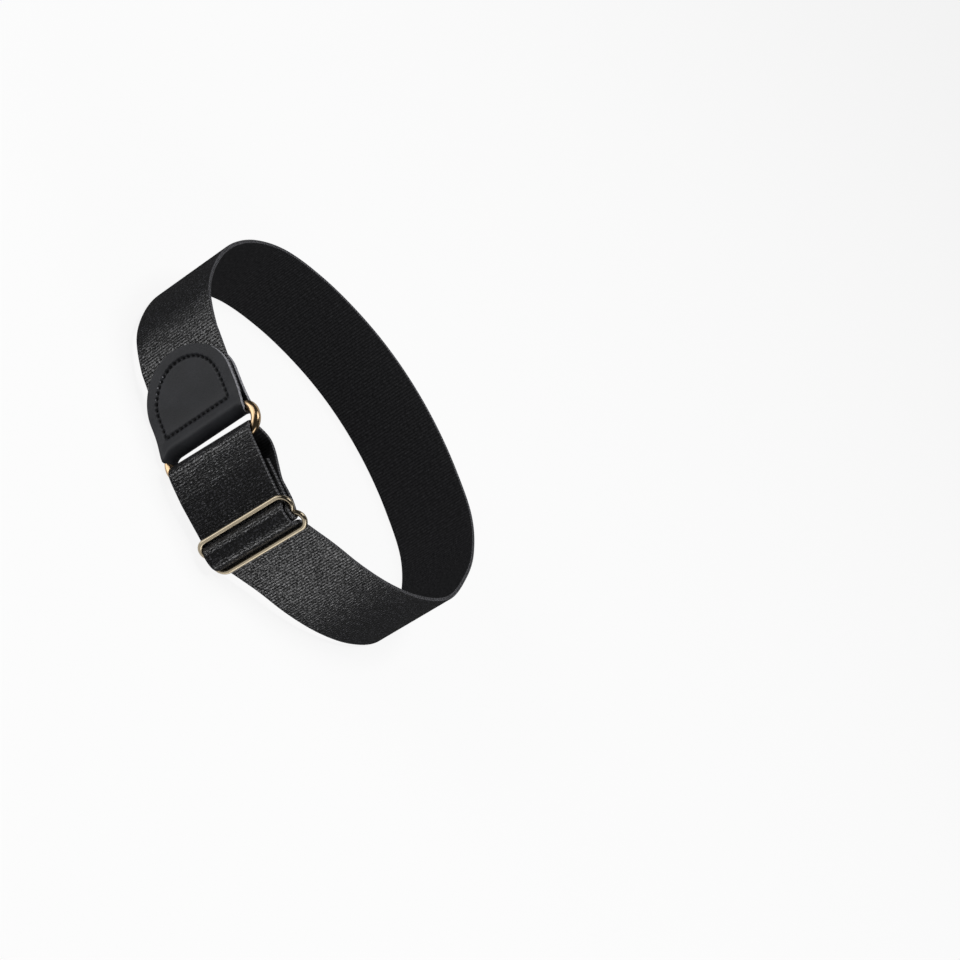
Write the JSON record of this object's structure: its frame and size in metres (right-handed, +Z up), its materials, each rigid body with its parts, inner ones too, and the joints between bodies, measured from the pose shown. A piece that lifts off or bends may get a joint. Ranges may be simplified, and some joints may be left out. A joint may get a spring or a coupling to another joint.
{
  "type": "shirt sleeve holder",
  "caption": "Adjustable elastic armband that holds up a shirt sleeve: a strap with a wire slider, an oval ring and a folded leather tab.",
  "frame": {"origin": "middle of the footprint, on the surface that the band stands on", "axes": "+Z up and along the arm, -Y towards the tab, ring and slider, +X to the right of that front"},
  "size_m": [0.1069, 0.1047, 0.0313],
  "materials": {
    "elastic": "black woven elastic, ribbed across, satin outside and matte inside",
    "leather": "smooth satin black leather with raw edges",
    "ring_brass": "polished, warm brass colour",
    "slider_brass": "polished, pale gold colour"
  },
  "bodies": {
    "root": {"elastic_band": "elastic", "leather_tab": "leather", "oval_ring": "ring_brass", "slider_buckle": "slider_brass"}
  },
  "joints": []
}
